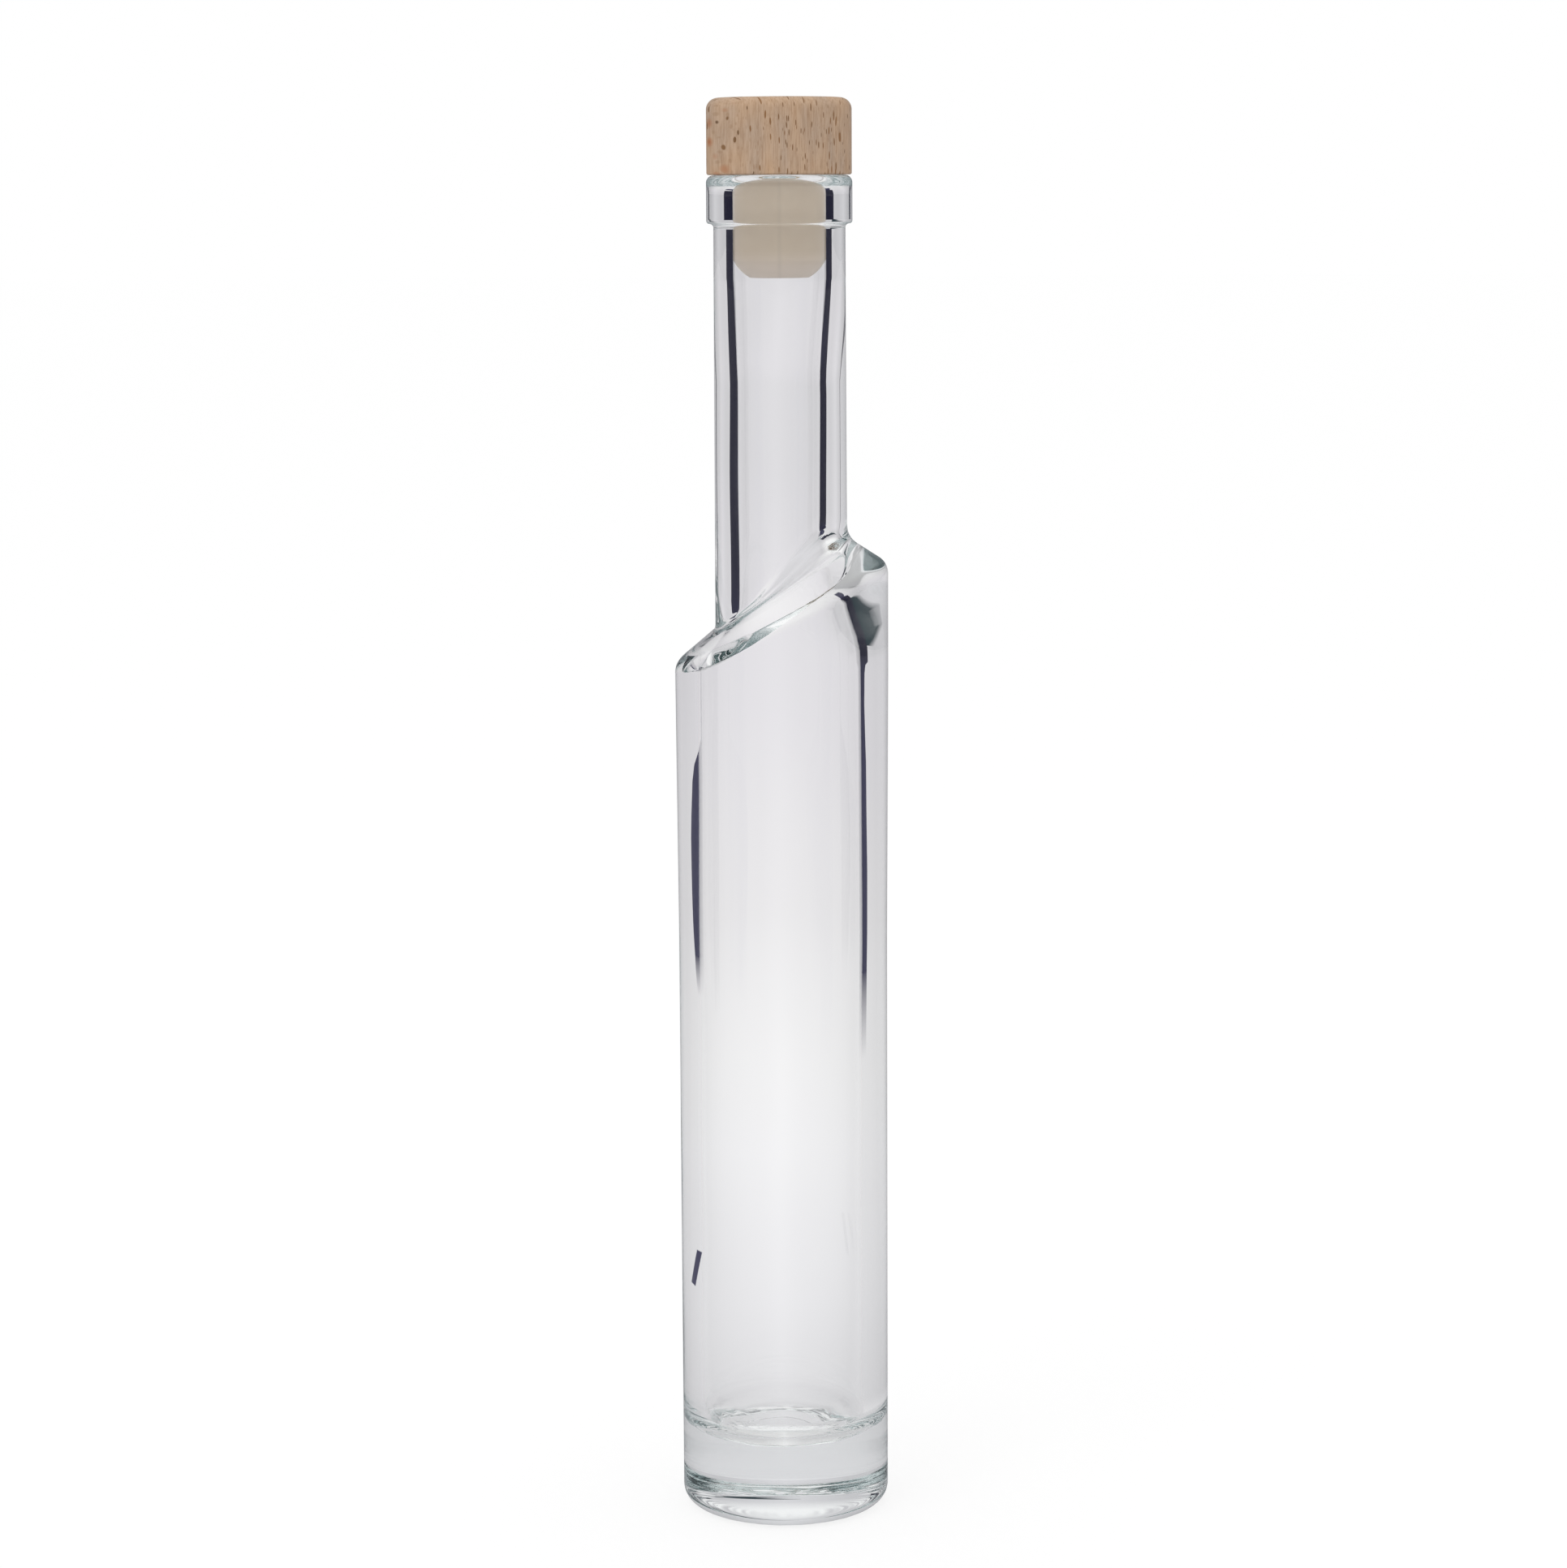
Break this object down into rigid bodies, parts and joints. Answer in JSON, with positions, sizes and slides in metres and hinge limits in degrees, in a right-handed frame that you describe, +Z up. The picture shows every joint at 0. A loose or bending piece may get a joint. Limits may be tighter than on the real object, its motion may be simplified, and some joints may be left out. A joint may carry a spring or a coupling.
{
  "type": "glass bottle with stopper",
  "caption": "Slender clear glass spirits bottle with a slanted shoulder and a thick base, closed by a pull-out cork stopper with a round wooden head.",
  "frame": {"origin": "centre of the underside, on the surface that the bottle stands on", "axes": "+Z up along the bottle's axis, towards the stopper; +X towards the high side of the slanted shoulder"},
  "size_m": [0.0428, 0.0428, 0.286],
  "materials": {
    "clear_glass": "clear, glossy flint glass, faintly green where it is thick",
    "beech_wood": "fine-sanded, with a thin matt lacquer",
    "synthetic_cork": "smooth moulded closed-cell foam, matt",
    "cured_glue": "cured adhesive film"
  },
  "bodies": {
    "bottle": {"bottle_glass": "clear_glass"},
    "stopper": {"stopper_head": "beech_wood", "stopper_plug": "synthetic_cork", "stopper_glue": "cured_glue"}
  },
  "joints": [
    {"name": "stopper_slide", "type": "slide", "parent": "bottle", "child": "stopper", "axis": [0, 0, 1], "range_m": [0, 0.06]}
  ]
}
